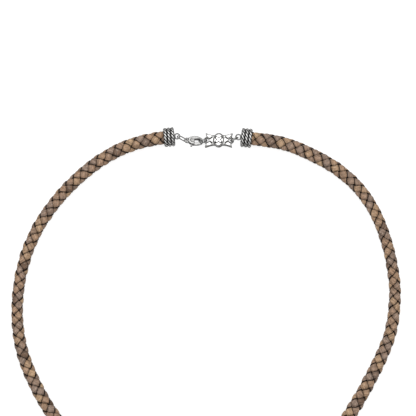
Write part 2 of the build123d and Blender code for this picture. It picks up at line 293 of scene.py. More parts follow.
@dataclass(frozen=True)
class LeatherFinish:
    """Antique brown waxed leather with dark cut edges, painted shade where a lace dives under its neighbour,
    and a painted sheen on the laces' crowns.
    """

    groups: dict[str, bpy.types.NodeTree]
    darkest: Colour = (0.170, 0.100, 0.062)
    taupe: Colour = (0.350, 0.250, 0.192)
    brown: Colour = (0.425, 0.267, 0.169)
    tan: Colour = (0.585, 0.394, 0.234)
    rust: Colour = (0.300, 0.136, 0.062)
    # Pale colour of the painted sheen on the laces' crowns.
    crown_sheen: Colour = (0.720, 0.605, 0.495)
    # Dark dye of the cut edges, also the colour of the painted shade where a lace dives under its neighbour.
    edge_dye_and_shade: Colour = (0.016, 0.010, 0.007)
    roughness: float = 0.52
    patch_size: float = 2.2
    blotch_size: float = 0.7
    grain_size: float = 0.22
    grain_depth: float = 0.00012
    facet_share: float = 0.62
    patch_share: float = 0.30
    blotch_share: float = 0.22
    taupe_at: float = 0.30
    brown_at: float = 0.58
    rust_most: float = 0.60
    sheen_most: float = 0.55
    rim_start: float = 0.84
    rim_full: float = 0.94
    rim_ragged: float = 0.30
    # Strength of the painted shade where a lace dives under its neighbour.
    tuck_shade_strength: float = 0.64

    def build(self, name: str, dye: LaceDye) -> bpy.types.Material:
        """Make one lace's material.

        Args:
            name: Material name.
            dye: The lace's own tone.

        Returns:
            The material.
        """
        material, bench, shader = start_material(name)
        mottle = self.groups["mottle"]
        patch = bench.group(mottle, {"Patch Size": self.patch_size, "Contrast": 1.1,
                                     "Offset": 0.013 * (1 + dye.value)})
        blotch = bench.group(mottle, {"Patch Size": self.blotch_size, "Contrast": 1.0, "Offset": 0.05})
        facet = bench.value("facet_tone")
        tone = bench.maths("ADD", bench.swing(facet, self.facet_share), dye.value)
        tone = bench.maths("ADD", tone, bench.swing(patch, self.patch_share))
        tone = bench.maths("ADD", tone, bench.swing(blotch, self.blotch_share), clamp=True)
        ramp = bench.add("ValToRGB", None, {"Fac": tone})
        stops = ((0.0, self.darkest), (self.taupe_at, self.taupe),
                 (self.brown_at, self.brown), (1.0, self.tan))
        while len(ramp.color_ramp.elements) < len(stops):
            ramp.color_ramp.elements.new(0.5)
        for stop, (at, colour) in zip(ramp.color_ramp.elements, stops):
            stop.position = at
            stop.color = (*colour, 1.0)

        lay = bench.add("UVMap", {"uv_map": "lay"}).outputs["UV"]
        drawn = bench.add("Mapping", None, {"Vector": lay, "Scale": (0.45, 1.9, 1.0)}).outputs[0]
        fibre = bench.add("TexNoise", None, {"Vector": drawn, "Scale": 1.0, "Detail": 4.0, "Roughness": 0.65})
        streak = bench.spread(fibre.outputs["Fac"], 0.36, 0.64, 0.52, 1.36)
        toward_edge = bench.value("toward_edge")
        # Fibre streaks, times a colour that is lighter along the lace's middle and darker towards its edges.
        streaks_darker_to_edges = bench.maths("MULTIPLY", streak, bench.spread(toward_edge, 0.30, 0.82, 1.06, 0.78))
        rust = bench.spread(patch, 0.56, 0.80, 0.0, self.rust_most)
        # Painted sheen: pale patches near the middle of each lace stand in for highlights on its crown.
        crown_sheen = bench.maths("MULTIPLY", bench.spread(blotch, 0.55, 0.72, 0.0, self.sheen_most),
                           bench.spread(toward_edge, 0.25, 0.65, 1.0, 0.0))
        dyed = bench.mix(crown_sheen, bench.mix(rust, ramp.outputs["Color"], (*self.rust, 1.0)), (*self.crown_sheen, 1.0))
        toned = bench.add("VectorMath", {"operation": "MULTIPLY"}, {0: dyed, 1: streaks_darker_to_edges}).outputs[0]

        ragged = bench.maths("ADD", toward_edge, bench.swing(blotch, self.rim_ragged))
        rim = bench.spread(ragged, self.rim_start, self.rim_full)
        # Painted shade where the lace dives under its neighbour, joined with the real dark dye of its cut
        # edges.
        shade = bench.maths("MULTIPLY", bench.value("tucked_under_shade"), self.tuck_shade_strength)
        dark = bench.maths("MAXIMUM", rim, shade, clamp=True)

        grain = bench.group(self.groups["grain"], {"Grain Size": self.grain_size})
        height = bench.maths("ADD", bench.maths("MULTIPLY", grain, 0.6),
                             bench.maths("MULTIPLY", fibre.outputs["Fac"], 0.5))
        bump = bench.add("Bump", None, {"Strength": 0.55, "Distance": self.grain_depth, "Height": height})
        bench.feed(shader, {
            "Base Color": bench.mix(dark, toned, (*self.edge_dye_and_shade, 1.0)),
            "Roughness": bench.spread(patch, 0.3, 0.7, self.roughness - 0.08, self.roughness + 0.10),
            "Normal": bump.outputs["Normal"],
            "Specular IOR Level": 0.30,
            "Coat Weight": 0.06,
            "Coat Roughness": 0.35,
        })
        return material


@dataclass(frozen=True)
class SilverFinish:
    """Cast silver, polished on its high spots and blackened in its recesses; on the clasp castings the same
    black also paints shade on walls and edge bands.
    """

    groups: dict[str, bpy.types.NodeTree]
    polished: Colour = (0.86, 0.855, 0.84)
    clouded: Colour = (0.50, 0.495, 0.48)
    # Black of the oxide in recesses, also the colour of the painted shade on the clasp castings' walls and
    # edge bands.
    blackened: Colour = (0.022, 0.021, 0.020)
    low_roughness: float = 0.14
    high_roughness: float = 0.34
    cloud_size: float = 1.6
    speck_size: float = 0.45
    grain_size: float = 0.35
    grain_depth: float = 0.00006
    cloud_most: float = 0.75
    ragged_share: float = 0.35
    black_start: float = 0.56
    black_full: float = 0.84
    black_dulls: float = 0.3

    def build(self, name: str, recessed: bool, lit_share: float) -> bpy.types.Material:
        """Make a silver material.

        Args:
            name: Material name.
            recessed: Whether the mesh stores how deep each point lies in a recess, on the clasp castings
                joined with their painted shade.
            lit_share: Share of the metal's colours kept on this part, set part by part as painted light and
                shade; 1 keeps them whole.

        Returns:
            The material.
        """
        material, bench, shader = start_material(name)
        mottle = self.groups["mottle"]
        cloud = bench.group(mottle, {"Patch Size": self.cloud_size, "Contrast": 1.6, "Offset": 0.021})
        # Painted light and shade: the same silver's colours scaled by each part's own share.
        polished = (*(part * lit_share for part in self.polished), 1.0)
        clouded = (*(part * lit_share for part in self.clouded), 1.0)
        metal = bench.mix(bench.spread(cloud, 0.45, 0.95, 0.0, self.cloud_most), polished, clouded)
        rough = bench.spread(cloud, 0.3, 0.8, self.low_roughness, self.high_roughness)
        if recessed:
            speck = bench.group(mottle, {"Patch Size": self.speck_size, "Contrast": 1.2, "Offset": 0.033})
            depth = bench.maths("ADD", bench.value("recess"), bench.swing(speck, self.ragged_share))
            # Black oxide in recesses; on the clasp castings this also paints shade on walls and edge bands.
            black = bench.spread(depth, self.black_start, self.black_full)
            metal = bench.mix(black, metal, (*self.blackened, 1.0))
            rough = bench.maths("ADD", rough, bench.maths("MULTIPLY", black, self.black_dulls))
        grain = bench.group(self.groups["grain"], {"Grain Size": self.grain_size})
        bump = bench.add("Bump", None, {"Strength": 0.12, "Distance": self.grain_depth, "Height": grain})
        bench.feed(shader, {"Base Color": metal, "Roughness": rough, "Normal": bump.outputs["Normal"],
                            "Metallic": 1.0})
        return material


@dataclass
class CordRoute:
    """Line along the middle of the cord, from inside the left cap round to inside the right one."""

    points: list[Place]
    diameters: list[float]
    rows: int = 214
    smoothness: int = 24

    def line(self) -> np.ndarray:
        """Read the route's spline.

        Returns:
            Points along the spline in metres.
        """
        curve = bpy.data.curves.new("cord_route", "CURVE")
        curve.dimensions = "3D"
        curve.resolution_u = self.smoothness
        spline = curve.splines.new("NURBS")
        spline.points.add(len(self.points) - 1)
        for knot, place in zip(spline.points, self.points):
            knot.co = (*(part * MM for part in place), 1.0)
        spline.order_u = 3
        spline.use_endpoint_u = True
        carrier = bpy.data.objects.new("cord_route", curve)
        bpy.context.scene.collection.objects.link(carrier)
        bpy.context.view_layer.update()
        read = bpy.data.meshes.new_from_object(carrier)
        places = mesh_points(read)
        bpy.data.objects.remove(carrier)
        bpy.data.curves.remove(curve)
        bpy.data.meshes.remove(read)
        return places

    def __post_init__(self) -> None:
        """Measure the spline once for the calls that follow."""
        self._line = self.line()
        steps = np.linalg.norm(np.diff(self._line, axis=0), axis=1)
        self._reach = np.concatenate([[0.0], np.cumsum(steps)])
        self._tangent = unit(np.gradient(self._line, self._reach, axis=0))
        runs = np.linalg.norm(np.diff(np.array(self.points), axis=0), axis=1)
        self._point_share = np.concatenate([[0.0], np.cumsum(runs)]) / runs.sum()

    @property
    def length(self) -> float:
        """Length of the spline in metres."""
        return float(self._reach[-1])

    def diameter(self, row: np.ndarray) -> np.ndarray:
        """Return the cord's diameter in millimetres at some rows of the braid."""
        return np.interp(row / self.rows, self._point_share, self.diameters)

    def frames(self, row: np.ndarray) -> tuple[np.ndarray, np.ndarray, np.ndarray, np.ndarray]:
        """Find the cord's middle and directions at some rows of the braid.

        Args:
            row: Row numbers, whole or not.

        Returns:
            Middle points, directions along the cord, to its left side and up.
        """
        reach = np.clip(row / self.rows, 0.0, 1.0) * self.length
        beyond = (row / self.rows * self.length) - reach
        middle = np.stack([np.interp(reach, self._reach, self._line[:, k]) for k in range(3)], -1)
        along = unit(np.stack([np.interp(reach, self._reach, self._tangent[:, k]) for k in range(3)], -1))
        middle = middle + along * beyond[..., None]
        side = unit(np.cross(np.broadcast_to([0.0, 0.0, 1.0], along.shape), along))
        return middle, along, side, np.cross(along, side)


@dataclass
class BraidedCord:
    """Round braid of six flat laces, three each way, each passing over one and under one."""

    route: CordRoute
    drawn_diameter: float = 5.2
    lace_thickness: float = 0.75
    over_radius: float = 2.225
    under_radius: float = 1.035
    over_width: float = 3.02
    middle_width: float = 2.62
    tucked_width: float = 1.45
    row_pitch: float = 2.24
    row_turn: float = 60.0
    turns: tuple[tuple[float, float], ...] = ((0.0, 15.0), (0.2, 3.0), (0.75, 0.0), (0.93, 24.0), (1.0, 24.0))
    fixed_width_share: float = 0.35
    least_wrap: float = 1.15
    width_unevenness: float = 0.05
    swell_unevenness: float = 0.05
    wander: float = 0.09
    wander_rows: int = 3
    tucked_thinning: float = 0.30
    tone_spread: float = 0.24
    steps_per_row: int = 10
    crown: float = 0.17
    crown_when_tucked: float = 0.35
    wrap_share: float = 0.80
    wrap_gain: float = 0.2
    lay_stretch: float = 1.6
    lay_apart: float = 5.0
    laces_each_way: int = 3
    first_seed: int = 11
    dyes: dict[str, LaceDye] = field(default_factory=lambda: {
        "leather_strand_1": LaceDye.TAN,
        "leather_strand_2": LaceDye.TAUPE,
        "leather_strand_3": LaceDye.BROWN,
        "leather_strand_4": LaceDye.TAUPE,
        "leather_strand_5": LaceDye.BROWN,
        "leather_strand_6": LaceDye.TAN,
    })

    def section(self) -> tuple[np.ndarray, np.ndarray, np.ndarray]:
        """Lay out a lace's section.

        Returns:
            For each point its place across the lace from -1 to 1, its height in the lace's
            thickness from 0 to 1, and how near it is to the cut edge.
        """
        top = [-0.97, -0.90, -0.80, -0.62, -0.40, -0.15, 0.15, 0.40, 0.62, 0.80, 0.90, 0.97]
        across = top + [1.0, 1.0, 0.93, 0.4, -0.4, -0.93, -1.0, -1.0]
        height = [0.97] + [1.0] * (len(top) - 2) + [0.97] + [0.72, 0.28, 0.0, 0.0, 0.0, 0.0, 0.28, 0.72]
        edge = [abs(part) for part in top] + [1.0] * 8
        return np.array(across), np.array(height), np.array(edge)

    def lace(self, name: str, hand: Hand, start_angle: float, seed: int,
             finish: bpy.types.Material) -> bpy.types.Object:
        """Build one lace.

        Args:
            name: The CAD node that the lace replaces.
            hand: Which way it winds.
            start_angle: Its angle round the cord at the first row, in degrees.
            seed: Seed of its small unevenness.
            finish: Its material.

        Returns:
            The lace as a piece.
        """
        chance = np.random.default_rng(seed)
        count = self.route.rows * self.steps_per_row + 1
        row = np.linspace(0.0, self.route.rows, count)[:, None]
        across, height, edge = (values[None, :] for values in self.section())
        sign = hand.value
        lies_over = sign * np.cos(math.pi * row)

        thick = self.route.diameter(row) / self.drawn_diameter
        broad = self.fixed_width_share + (1.0 - self.fixed_width_share) * thick
        steep = np.arctan(self.drawn_diameter / 2 * thick * math.radians(self.row_turn) / self.row_pitch)
        shape = broad_crests(lies_over)
        width = np.where(shape > 0, self.middle_width + (self.over_width - self.middle_width) * shape,
                         self.middle_width + (self.middle_width - self.tucked_width) * shape)
        facets = self.route.rows // 2 + 2
        first_over = 0 if sign > 0 else 1
        facet_number = np.rint((row - first_over) / 2).astype(int).clip(0, facets - 1)
        over_share = np.clip(shape, 0, 1)
        uneven = self.width_unevenness * chance.standard_normal(facets)[facet_number]
        width = width * broad * (1.0 + uneven * over_share)
        knots = np.arange(0, self.route.rows + self.wander_rows + 1, self.wander_rows)
        wander = self.wander * np.interp(row[:, 0], knots, chance.standard_normal(len(knots)))[:, None]
        offset = across * width / 2 + wander * over_share

        skew = offset * (-1.0 / np.tan(2 * steep)) * np.cos(steep) / self.row_pitch
        lift = broad_crests(sign * np.cos(math.pi * (row - skew)))
        middle = (self.over_radius + self.under_radius) / 2
        centre_radius = middle + (self.over_radius - self.under_radius) / 2 * lift
        swell = self.swell_unevenness * chance.standard_normal(facets)[facet_number] * np.clip(lift, 0, 1)
        crowned = self.crown_when_tucked + (1.0 - self.crown_when_tucked) * np.clip(lift, 0, 1)
        rounding = self.crown * np.abs(across) ** 3 * crowned
        outer = centre_radius + self.lace_thickness / 2 - rounding + swell
        thin = self.lace_thickness * (1.0 - self.tucked_thinning * (1 - np.clip(lift, -1, 1)) / 2)
        radius = (outer - thin * (1.0 - height)) * thick

        wrap = np.maximum(centre_radius, self.least_wrap) * thick
        shares, leans = zip(*self.turns)
        lean = np.interp(row / self.route.rows, shares, leans)
        turn = np.radians(start_angle + lean + sign * self.row_turn * row)
        spread = np.clip(self.wrap_share + self.wrap_gain * lift, 0.5, 1.0)
        turn = turn + sign * offset * np.cos(steep) / wrap * spread
        at_row = row - offset * np.sin(steep) / self.row_pitch
        where, along, side, up = self.route.frames(at_row + 0 * across)
        out = side * np.cos(turn)[..., None] + up * np.sin(turn)[..., None]
        points = where + out * (radius * MM)[..., None]

        ring = points.shape[1]
        grid = np.arange(count * ring).reshape(count, ring)
        nxt = np.roll(grid, -1, axis=1)
        quads = np.stack([grid[:-1], nxt[:-1], nxt[1:], grid[1:]], -1).reshape(-1, 4).tolist()
        quads.append(grid[0].tolist()[::-1])
        quads.append(grid[-1].tolist())
        mesh = make_mesh(name, points.reshape(-1, 3), quads)

        tones = np.clip(0.5 + self.tone_spread * chance.standard_normal(facets), 0.0, 1.0)
        # Painted shade on the part of each lace that dives under its neighbour.
        tuck_shade = 1.0 - smooth_step(lift, -0.62, 0.06)
        stored = {"facet_tone": tones[facet_number], "toward_edge": edge, "tucked_under_shade": tuck_shade}
        for label, values in stored.items():
            store_values(mesh, label, np.broadcast_to(values, points.shape[:2]).ravel())
        lay = np.stack([np.broadcast_to(row * self.row_pitch * self.lay_stretch, points.shape[:2]),
                        offset + 0 * row + self.lay_apart * seed], -1).reshape(-1, 2)
        corner = np.zeros(len(mesh.loops), dtype=np.int32)
        mesh.loops.foreach_get("vertex_index", corner)
        layer = mesh.uv_layers.new(name="lay")
        layer.data.foreach_set("uv", lay[corner].ravel())
        return place_piece(name + "_lace", mesh, finish)

    def build(self, leather: LeatherFinish) -> list[bpy.types.Object]:
        """Build the six laces, each in place of its CAD node.

        Args:
            leather: The finish that dyes them.

        Returns:
            The laces as pieces.
        """
        pieces = []
        for number, (node, dye) in enumerate(self.dyes.items()):
            hand = Hand.FORWARD if number < self.laces_each_way else Hand.BACKWARD
            start_angle = 360.0 / self.laces_each_way * (number % self.laces_each_way)
            finish = leather.build(f"braided_leather_{number + 1}", dye)
            lace = self.lace(node, hand, start_angle, self.first_seed + number, finish)
            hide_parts(node)
            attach(lace, "root")
            LOG.info("%s: %d faces, %s", lace.name, len(lace.data.polygons), dye.name.lower())
            pieces.append(lace)
        return pieces


class Caster:
    """Turns joined rough shapes into one soft-edged casting."""

    @staticmethod
    def fuse(name: str, mesh: bpy.types.Mesh, grid: float, rounds: int) -> bpy.types.Mesh:
        """Fuse shells that overlap into one surface and soften its edges.

        Args:
            name: Name of the new mesh.
            mesh: Closed shells in millimetres.
            grid: Size of the new faces in millimetres.
            rounds: How often the surface is smoothed.

        Returns:
            The new mesh in millimetres.
        """
        carrier = bpy.data.objects.new(name, mesh)
        bpy.context.scene.collection.objects.link(carrier)
        remesh = carrier.modifiers.new("fuse", "REMESH")
        remesh.mode = "VOXEL"
        remesh.voxel_size = grid
        remesh.use_smooth_shade = True
        relax = carrier.modifiers.new("relax", "SMOOTH")
        relax.factor = 0.5
        relax.iterations = rounds
        bpy.context.view_layer.update()
        cast = bpy.data.meshes.new_from_object(carrier.evaluated_get(bpy.context.evaluated_depsgraph_get()))
        cast.name = name
        bpy.data.objects.remove(carrier)
        return cast

    @staticmethod
    def average(mesh: bpy.types.Mesh, values: np.ndarray, rounds: int) -> np.ndarray:
        """Average numbers kept for a mesh's points with those of their neighbours.

        Args:
            mesh: The mesh.
            values: Rows of numbers, one row for each point.
            rounds: How often they are averaged.

        Returns:
            The averaged rows.
        """
        ends = np.zeros(len(mesh.edges) * 2, dtype=np.int64)
        mesh.edges.foreach_get("vertices", ends)
        first, second = ends.reshape(-1, 2).T
        share = np.maximum(np.bincount(ends, minlength=len(values)), 1).astype(float)[:, None]
        soft = values.copy()
        for _ in range(rounds):
            total = np.zeros_like(soft)
            for k in range(soft.shape[1]):
                total[:, k] = np.bincount(first, soft[second, k], len(soft)) \
                    + np.bincount(second, soft[first, k], len(soft))
            soft = 0.5 * soft + 0.5 * total / share
        return soft

    @staticmethod
    def recess(mesh: bpy.types.Mesh, rounds: int, depth: float) -> np.ndarray:
        """Find how far each point lies in a hollow of the surface.

        Args:
            mesh: A finely divided closed mesh.
            rounds: How often the surface is averaged, which sets the size of the hollows found.
            depth: Depth that counts as a full recess, in the mesh's units.

        Returns:
            One number for each point, 0 on high spots and 1 in deep hollows.
        """
        points = mesh_points(mesh)
        soft = Caster.average(mesh, points, rounds)
        normals = np.zeros(len(points) * 3)
        mesh.vertices.foreach_get("normal", normals)
        sunk = ((soft - points) * normals.reshape(-1, 3)).sum(1)
        return np.clip(0.5 + 0.5 * sunk / depth, 0.0, 1.0)

    @staticmethod
    def finish(name: str, mesh: bpy.types.Mesh, node: str, body: str,
               silver: bpy.types.Material) -> bpy.types.Object:
        """Scale a casting from millimetres and put it in place of its CAD node.

        Args:
            name: Name of the piece.
            mesh: The casting in millimetres.
            node: The CAD node that it replaces.
            body: The body that it moves with.
            silver: Its material.

        Returns:
            The piece.
        """
        mesh.transform(Matrix.Scale(MM, 4))
        mesh.polygons.foreach_set("use_smooth", [True] * len(mesh.polygons))
        piece = place_piece(name, mesh, silver)
        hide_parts(node)
        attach(piece, body)
        LOG.info("%s: %d faces", name, len(mesh.polygons))
        return piece


def tube_angles(rounds: int, sides: int) -> tuple[np.ndarray, np.ndarray]:
    """Return the angles round a closed ring and round its tube."""
    turn = np.linspace(0, 2 * math.pi, rounds, endpoint=False)[:, None]
    return turn, np.linspace(0, 2 * math.pi, sides, endpoint=False)[None, :]


def tube_faces(rounds: int, sides: int) -> list:
    """Join the points of a closed ring of tube, counted side by side and round by round.

    Args:
        rounds: How many sections the ring has.
        sides: How many points each section has.

    Returns:
        The faces as rows of point numbers.
    """
    grid = np.arange(rounds * sides).reshape(rounds, sides)
    beside = np.roll(grid, -1, 1)
    return np.stack([grid, beside, np.roll(beside, -1, 0), np.roll(grid, -1, 0)], -1).reshape(-1, 4).tolist()


@dataclass
class RopeCap:
    """Cord cap of twisted rope rows round a cup, with a ring eye on its closed face."""

    node: str
    face: Place
    heading: float
    length: float = 4.9
    rope_middle: float = 3.54
    rope_radius: float = 0.77
    rope_rows: int = 3
    row_pitch: float = 1.6
    lobes: int = 15
    plies: int = 3
    slant: int = -1
    bore: float = 3.12
    floor: float = 0.7
    eye_radius: float = 1.15
    eye_wire: float = 0.3
    eye_reach: float = 1.1
    eye_foot_swell: float = 0.55
    eye_foot_spread: float = 0.5
    eye_dark: float = 0.75
    ply_base: float = 0.58
    ply_rise: float = 0.44
    ply_roundness: float = 0.6
    row_shift: float = 0.31
    cup_sink: float = 0.15
    cup_chamfer: float = 0.35
    cup_bevel: float = 0.25
    mouth_bevel: float = 0.1
    mouth_step: float = 0.03
    cast_grid: float = 0.11
    hollow_rounds: int = 10
    hollow_depth: float = 0.10

    def place(self) -> Matrix:
        """Find how the cap lies.

        Returns:
            The turn and move from the cap's own axes, z along the cord, to the necklace.
        """
        out = Vector((math.cos(math.radians(self.heading)), math.sin(math.radians(self.heading)), 0.0))
        up = Vector((0.0, 0.0, 1.0))
        across = out.cross(up)
        turn = Matrix((up, across, out)).transposed().to_4x4()
        return Matrix.Translation(self.face) @ turn

    def row_heights(self) -> list[float]:
        """Return where the rope rows lie along the cap."""
        first = (self.length - self.row_pitch * (self.rope_rows - 1)) / 2
        return [first + row * self.row_pitch for row in range(self.rope_rows)]

    def ply_height(self, about: np.ndarray, turn: np.ndarray, row: int) -> np.ndarray:
        """Find how high the twisted plies stand, 0 in the groove between two and 1 on a crest.

        Args:
            about: Angle round the rope's own section.
            turn: Angle round the cap.
            row: Number of the rope row.

        Returns:
            The height at each place.
        """
        twist = about * self.plies / 2 + self.slant * self.lobes * turn / 2 + self.row_shift * math.pi * row
        return np.abs(np.cos(twist))

    def rope_row(self, row: int) -> tuple[np.ndarray, list]:
        """Make one twisted rope ring.

        Args:
            row: Number of the rope row.

        Returns:
            Its points and faces.
        """
        rounds, sides = 360, 32
        turn, about = tube_angles(rounds, sides)
        height = self.row_heights()[row]
        crest = self.ply_height(about, turn, row) ** self.ply_roundness
        radius = self.rope_radius * (self.ply_base + self.ply_rise * crest)
        reach = self.rope_middle + radius * np.cos(about)
        points = np.stack([reach * np.cos(turn), reach * np.sin(turn),
                           height + radius * np.sin(about) + 0 * turn], -1)
        return points.reshape(-1, 3), tube_faces(rounds, sides)

    def turned_cup(self) -> tuple[np.ndarray, list]:
        """Make the cup behind the rope rows as a turned shape.

        Returns:
            Its points and faces.
        """
        side = self.rope_middle - self.cup_sink
        profile = [(0.0, 0.0), (side - self.cup_chamfer, 0.0), (side, self.cup_bevel),
                   (side, self.length - self.cup_bevel), (self.bore + self.cup_sink, self.length),
                   (self.bore + self.mouth_step, self.length), (self.bore, self.length - self.mouth_bevel),
                   (self.bore, self.floor), (0.0, self.floor)]
        return revolve(profile, 96)

    def ring_eye(self) -> tuple[np.ndarray, list]:
        """Make the ring eye and the small foot that joins it to the cap.

        Returns:
            Its points and faces.
        """
        rounds, sides = 64, 16
        turn, about = tube_angles(rounds, sides)
        from_foot = (turn - math.pi / 2) / self.eye_foot_spread
        wire = self.eye_wire * (1.0 + self.eye_foot_swell * np.exp(-from_foot ** 2))
        reach = self.eye_radius + wire * np.cos(about)
        level = np.stack([wire * np.sin(about) + 0 * turn, reach * np.cos(turn),
                          reach * np.sin(turn) - self.eye_reach], -1)
        return level.reshape(-1, 3), tube_faces(rounds, sides)

    def grooves(self, points: np.ndarray) -> np.ndarray:
        """Find how far each point lies in a groove of the ropes, between two rope rows or on the clouded eye.

        Args:
            points: Places in the cap's own axes, in millimetres.

        Returns:
            One number for each point, 0 on the crests and 1 in the grooves.
        """
        ring = np.hypot(points[:, 0], points[:, 1])
        turn = np.arctan2(points[:, 1], points[:, 0])
        heights = np.array(self.row_heights())
        row = np.abs(points[:, 2:3] - heights).argmin(1)
        rise = points[:, 2] - heights[row]
        about = np.arctan2(rise, ring - self.rope_middle)
        on_rope = np.hypot(rise, ring - self.rope_middle) < self.rope_radius * 1.15
        ply = self.ply_height(about, turn, row)
        cut = (1.0 - smooth_step(ply, 0.50, 0.88)) * on_rope
        low = 1.0 - smooth_step(ring, self.rope_middle + 0.28, self.rope_middle + 0.68)
        walls = low * (points[:, 2] > 0.12) * (points[:, 2] < self.length - 0.05)
        eye = self.eye_dark * (points[:, 2] < -0.12)
        return np.maximum(np.maximum(cut, walls), eye)

    def build(self, silver: bpy.types.Material) -> bpy.types.Object:
        """Build the cap in place of its CAD node.

        Args:
            silver: Its material.

        Returns:
            The cap as a piece.
        """
        shells = [self.turned_cup(), self.ring_eye()]
        shells += [self.rope_row(row) for row in range(self.rope_rows)]
        points, faces, base = [], [], 0
        for shell_points, shell_faces in shells:
            points.append(shell_points)
            faces += [[number + base for number in face] for face in shell_faces]
            base += len(shell_points)
        rough = make_mesh(self.node + "_rough", np.concatenate(points), faces)
        cast = Caster.fuse(self.node + "_cast", rough, self.cast_grid, 1)
        hollows = Caster.recess(cast, self.hollow_rounds, self.hollow_depth)
        store_values(cast, "recess", np.maximum(hollows, self.grooves(mesh_points(cast))))
        cast.transform(self.place())
        return Caster.finish(self.node + "_rope", cast, self.node, "root", silver)


def revolve(profile: list[tuple[float, float]], sides: int) -> tuple[np.ndarray, list]:
    """Turn a profile of radius and height round the z axis.

    Args:
        profile: Radius and height of each corner, starting and ending on the axis.
        sides: How many sides the turned shape has.

    Returns:
        Its points and faces.
    """
    points, rings = [], []
    for radius, height in profile:
        if radius < 1e-9:
            rings.append([len(points)])
            points.append((0.0, 0.0, height))
            continue
        rings.append(list(range(len(points), len(points) + sides)))
        for k in range(sides):
            turn = 2 * math.pi * k / sides
            points.append((radius * math.cos(turn), radius * math.sin(turn), height))
    faces = []
    for low, high in zip(rings, rings[1:]):
        for k in range(sides):
            after = (k + 1) % sides
            if len(low) == 1:
                faces.append([low[0], high[k], high[after]])
            elif len(high) == 1:
                faces.append([low[k], high[0], low[after]])
            else:
                faces.append([low[k], high[k], high[after], low[after]])
    return np.array(points), faces


@dataclass(frozen=True)
class Lying:
    """Where a loose piece lies: its own origin, heading, pitch and roll."""

    origin: Place
    heading: float
    pitch: float
    roll: float

    def turn(self) -> np.ndarray:
        """Find how the piece is turned.

        Returns:
            The piece's own axes as columns.
        """
        turned = [Matrix.Rotation(math.radians(angle), 3, axis)
                  for angle, axis in ((self.heading, "Z"), (self.pitch, "Y"), (self.roll, "X"))]
        return np.array(turned[0] @ turned[1] @ turned[2])

    def inside(self, points: np.ndarray) -> np.ndarray:
        """Return points in the piece's own axes."""
        return (points - np.array(self.origin)) @ self.turn()


@dataclass(frozen=True)
class OxideAndShade:
    """How dark a casting's walls and the bands along its edges are painted as shade, and how its
    oxide-blackened hollows are found.
    """

    wall_shade: float
    band_shade: float
    rounds: int = 14
    depth: float = 0.07


